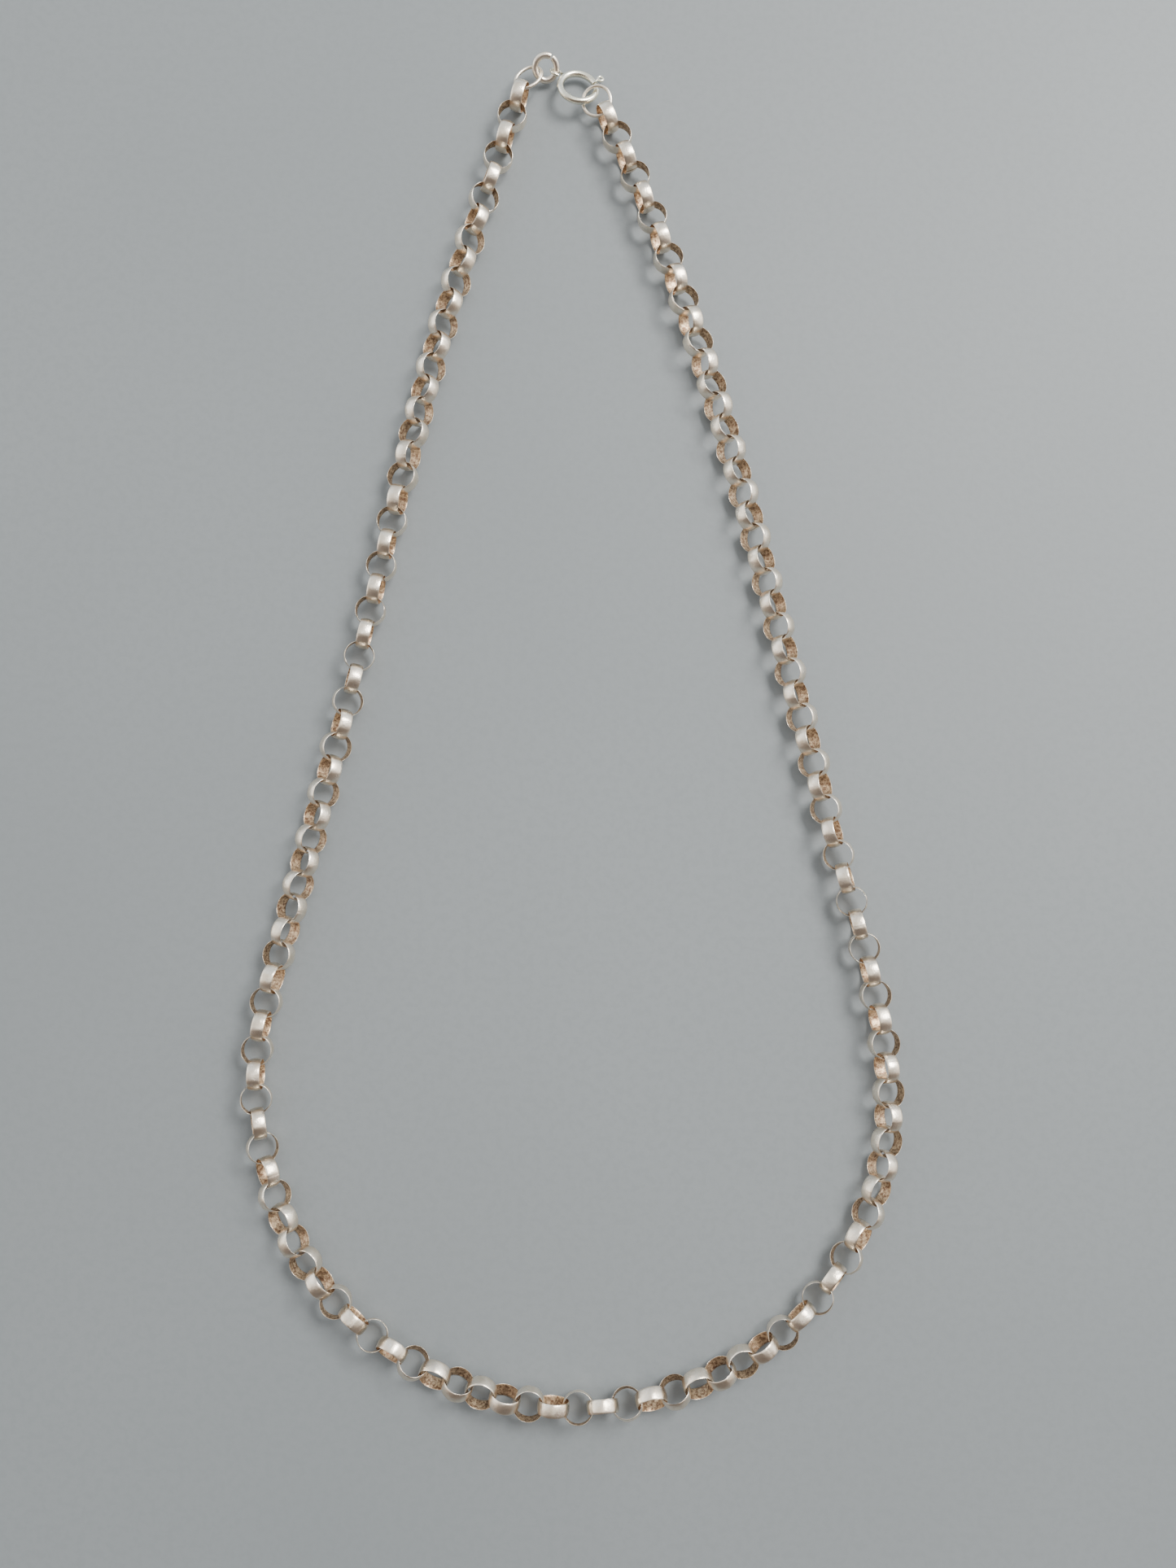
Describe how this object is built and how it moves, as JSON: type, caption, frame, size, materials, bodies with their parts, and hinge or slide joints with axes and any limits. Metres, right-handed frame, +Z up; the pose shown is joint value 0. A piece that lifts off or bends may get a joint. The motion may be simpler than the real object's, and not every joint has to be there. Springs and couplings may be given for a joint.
{
  "type": "chain necklace",
  "caption": "Silver belcher chain necklace of round domed links laid in a teardrop loop and fastened with a bolt ring clasp.",
  "frame": {"origin": "centre of the bounding box, on the surface the chain lies on", "axes": "+Y along the loop towards the clasp, +X to the right with the clasp at the top, +Z up"},
  "size_m": [0.0924, 0.1964, 0.0046],
  "materials": {
    "link_silver": "worn tarnished silver",
    "ring_silver": "worn silver wire",
    "clasp_silver": "polished silver"
  },
  "bodies": {
    "front": {"front_01": "link_silver", "front_02": "link_silver", "front_03": "link_silver", "front_04": "link_silver", "front_05": "link_silver", "front_06": "link_silver", "front_07": "link_silver", "front_08": "link_silver", "front_09": "link_silver", "front_10": "link_silver", "front_11": "link_silver", "front_12": "link_silver", "front_13": "link_silver", "front_14": "link_silver"},
    "left_01": {"left_01": "link_silver"},
    "left_02": {"left_02": "link_silver"},
    "left_03": {"left_03": "link_silver"},
    "left_04": {"left_04": "link_silver"},
    "left_05": {"left_05": "link_silver"},
    "left_06": {"left_06": "link_silver"},
    "left_07": {"left_07": "link_silver"},
    "left_08": {"left_08": "link_silver"},
    "left_09": {"left_09": "link_silver"},
    "left_10": {"left_10": "link_silver"},
    "left_11": {"left_11": "link_silver"},
    "left_12": {"left_12": "link_silver"},
    "left_13": {"left_13": "link_silver"},
    "left_14": {"left_14": "link_silver"},
    "left_end_with_clasp": {"left_15": "link_silver", "left_end_ring": "ring_silver", "clasp_tube": "clasp_silver", "clasp_plug": "clasp_silver", "clasp_spring": "clasp_silver", "clasp_eyelet": "clasp_silver"},
    "right_01": {"right_01": "link_silver"},
    "right_02": {"right_02": "link_silver"},
    "right_03": {"right_03": "link_silver"},
    "right_04": {"right_04": "link_silver"},
    "right_05": {"right_05": "link_silver"},
    "right_06": {"right_06": "link_silver"},
    "right_07": {"right_07": "link_silver"},
    "right_08": {"right_08": "link_silver"},
    "right_09": {"right_09": "link_silver"},
    "right_10": {"right_10": "link_silver"},
    "right_11": {"right_11": "link_silver"},
    "right_12": {"right_12": "link_silver"},
    "right_13": {"right_13": "link_silver"},
    "right_14": {"right_14": "link_silver"},
    "right_15": {"right_15": "link_silver"},
    "jump_ring": {"jump_ring": "ring_silver"},
    "right_end_ring": {"right_end_ring": "ring_silver"},
    "clasp_bolt": {"clasp_bolt": "clasp_silver", "clasp_trigger": "clasp_silver"}
  },
  "joints": [
    {"name": "left_fold_01", "type": "hinge", "parent": "front", "child": "left_01", "pos_m": [-0.04411, -0.0512, 0.00231], "axis": [0.9999, 0.0104, 0], "range_deg": [-30, 18]},
    {"name": "right_fold_01", "type": "hinge", "parent": "front", "child": "right_01", "pos_m": [0.04375, -0.05028, 0.00231], "axis": [0.9999, 0.0104, 0], "range_deg": [-30, 18]},
    {"name": "left_fold_02", "type": "hinge", "parent": "left_01", "child": "left_02", "pos_m": [-0.04216, -0.03833, 0.00231], "axis": [-0.9984, 0.0573, 0], "range_deg": [-40, 36]},
    {"name": "right_fold_02", "type": "hinge", "parent": "right_01", "child": "right_02", "pos_m": [0.04287, -0.04321, 0.00231], "axis": [-0.9984, 0.0573, 0], "range_deg": [-40, 36]},
    {"name": "left_fold_03", "type": "hinge", "parent": "left_02", "child": "left_03", "pos_m": [-0.04038, -0.03143, 0.00231], "axis": [1, -0.0033, 0], "range_deg": [-8, 14]},
    {"name": "right_fold_03", "type": "hinge", "parent": "right_02", "child": "right_03", "pos_m": [0.04044, -0.0317, 0.00231], "axis": [1, -0.0033, 0], "range_deg": [-8, 14]},
    {"name": "left_fold_04", "type": "hinge", "parent": "left_03", "child": "left_04", "pos_m": [-0.03744, -0.02003, 0.00231], "axis": [-0.9987, 0.0516, 0], "range_deg": [-14, 20]},
    {"name": "right_fold_04", "type": "hinge", "parent": "right_03", "child": "right_04", "pos_m": [0.03843, -0.02395, 0.00231], "axis": [-0.9987, 0.0516, 0], "range_deg": [-14, 20]},
    {"name": "left_fold_05", "type": "hinge", "parent": "left_04", "child": "left_05", "pos_m": [-0.03517, -0.01107, 0.00231], "axis": [0.9996, -0.0266, 0], "range_deg": [-8, 12]},
    {"name": "right_fold_05", "type": "hinge", "parent": "right_04", "child": "right_05", "pos_m": [0.03557, -0.01295, 0.00231], "axis": [0.9996, -0.0266, 0], "range_deg": [-8, 12]},
    {"name": "left_fold_06", "type": "hinge", "parent": "left_05", "child": "left_06", "pos_m": [-0.03274, -0.00127, 0.00231], "axis": [-0.9996, 0.0285, 0], "range_deg": [-12, 18]},
    {"name": "right_fold_06", "type": "hinge", "parent": "right_05", "child": "right_06", "pos_m": [0.03315, -0.00315, 0.00231], "axis": [-0.9996, 0.0285, 0], "range_deg": [-12, 18]},
    {"name": "left_fold_07", "type": "hinge", "parent": "left_06", "child": "left_07", "pos_m": [-0.03012, 0.00975, 0.00231], "axis": [0.999, -0.0445, 0], "range_deg": [-12, 20]},
    {"name": "right_fold_07", "type": "hinge", "parent": "right_06", "child": "right_07", "pos_m": [0.03069, 0.00705, 0.00231], "axis": [0.999, -0.0445, 0], "range_deg": [-12, 20]},
    {"name": "left_fold_08", "type": "hinge", "parent": "left_07", "child": "left_08", "pos_m": [-0.02835, 0.01756, 0.00231], "axis": [-0.9998, 0.0193, 0], "range_deg": [-10, 18]},
    {"name": "right_fold_08", "type": "hinge", "parent": "right_07", "child": "right_08", "pos_m": [0.02843, 0.01646, 0.00231], "axis": [-0.9998, 0.0193, 0], "range_deg": [-10, 18]},
    {"name": "left_fold_09", "type": "hinge", "parent": "left_08", "child": "left_09", "pos_m": [-0.02571, 0.02944, 0.00231], "axis": [0.9985, -0.0541, 0], "range_deg": [-12, 20]},
    {"name": "right_fold_09", "type": "hinge", "parent": "right_08", "child": "right_09", "pos_m": [0.02591, 0.02665, 0.00231], "axis": [0.9985, -0.0541, 0], "range_deg": [-12, 20]},
    {"name": "left_fold_10", "type": "hinge", "parent": "left_09", "child": "left_10", "pos_m": [-0.02395, 0.03725, 0.00231], "axis": [-0.9991, 0.0435, 0], "range_deg": [-10, 10]},
    {"name": "right_fold_10", "type": "hinge", "parent": "right_09", "child": "right_10", "pos_m": [0.0237, 0.03518, 0.00231], "axis": [-0.9991, 0.0435, 0], "range_deg": [-10, 10]},
    {"name": "left_fold_11", "type": "hinge", "parent": "left_10", "child": "left_11", "pos_m": [-0.02141, 0.04788, 0.00231], "axis": [0.9982, -0.0604, 0], "range_deg": [-14, 12]},
    {"name": "right_fold_11", "type": "hinge", "parent": "right_10", "child": "right_11", "pos_m": [0.02089, 0.04532, 0.00231], "axis": [0.9982, -0.0604, 0], "range_deg": [-14, 12]},
    {"name": "left_fold_12", "type": "hinge", "parent": "left_11", "child": "left_12", "pos_m": [-0.01875, 0.05807, 0.00231], "axis": [-0.9996, 0.0294, 0], "range_deg": [-12, 12]},
    {"name": "right_fold_12", "type": "hinge", "parent": "right_11", "child": "right_12", "pos_m": [0.01734, 0.057, 0.00231], "axis": [-0.9996, 0.0294, 0], "range_deg": [-12, 12]},
    {"name": "left_fold_13", "type": "hinge", "parent": "left_12", "child": "left_13", "pos_m": [-0.0159, 0.06775, 0.00231], "axis": [0.9919, -0.1273, 0], "range_deg": [-18, 12]},
    {"name": "right_fold_13", "type": "hinge", "parent": "right_12", "child": "right_13", "pos_m": [0.01509, 0.06377, 0.00231], "axis": [0.9919, -0.1273, 0], "range_deg": [-18, 12]},
    {"name": "left_fold_14", "type": "hinge", "parent": "left_13", "child": "left_14", "pos_m": [-0.01221, 0.07935, 0.00231], "axis": [-0.9868, 0.1616, 0], "range_deg": [-18, 10]},
    {"name": "right_fold_14", "type": "hinge", "parent": "right_13", "child": "right_14", "pos_m": [0.01071, 0.07559, 0.00231], "axis": [-0.9868, 0.1616, 0], "range_deg": [-18, 10]},
    {"name": "left_fold_15", "type": "hinge", "parent": "left_14", "child": "left_end_with_clasp", "pos_m": [-0.01014, 0.08575, 0.00231], "axis": [0.9879, -0.155, 0], "range_deg": [-28, 26]},
    {"name": "right_fold_15", "type": "hinge", "parent": "right_14", "child": "right_15", "pos_m": [0.00765, 0.08295, 0.00231], "axis": [0.9879, -0.155, 0], "range_deg": [-28, 26]},
    {"name": "jump_ring_spin", "type": "hinge", "parent": "left_end_with_clasp", "child": "jump_ring", "pos_m": [-0.00415, 0.09655, 0.00229], "axis": [0.1078, -0.6843, 0.7211], "range_deg": [-170, 170]},
    {"name": "end_ring_spin", "type": "hinge", "parent": "right_15", "child": "right_end_ring", "pos_m": [0.00345, 0.0915, 0.00207], "axis": [-0.1528, -0.2139, 0.9648], "range_deg": [-170, 170]},
    {"name": "clasp_trigger", "type": "hinge", "parent": "left_end_with_clasp", "child": "clasp_bolt", "pos_m": [0.0007, 0.0937, 0.00197], "axis": [0.1429, 0.2562, 0.956], "range_deg": [0, 36], "stiffness_Nm_per_rad": 0.003, "springref_deg": -17.19, "deforming": ["clasp_spring"]}
  ],
  "couplings": [
    {"joint": "right_fold_01", "follows": "left_fold_01", "ratio": 1},
    {"joint": "right_fold_02", "follows": "left_fold_02", "ratio": 1},
    {"joint": "right_fold_03", "follows": "left_fold_03", "ratio": 1},
    {"joint": "right_fold_04", "follows": "left_fold_04", "ratio": 1},
    {"joint": "right_fold_05", "follows": "left_fold_05", "ratio": 1},
    {"joint": "right_fold_06", "follows": "left_fold_06", "ratio": 1},
    {"joint": "right_fold_07", "follows": "left_fold_07", "ratio": 1},
    {"joint": "right_fold_08", "follows": "left_fold_08", "ratio": 1},
    {"joint": "right_fold_09", "follows": "left_fold_09", "ratio": 1},
    {"joint": "right_fold_10", "follows": "left_fold_10", "ratio": 1},
    {"joint": "right_fold_11", "follows": "left_fold_11", "ratio": 1},
    {"joint": "right_fold_12", "follows": "left_fold_12", "ratio": 1},
    {"joint": "right_fold_13", "follows": "left_fold_13", "ratio": 1},
    {"joint": "right_fold_14", "follows": "left_fold_14", "ratio": 1},
    {"joint": "right_fold_15", "follows": "left_fold_15", "ratio": 1}
  ]
}
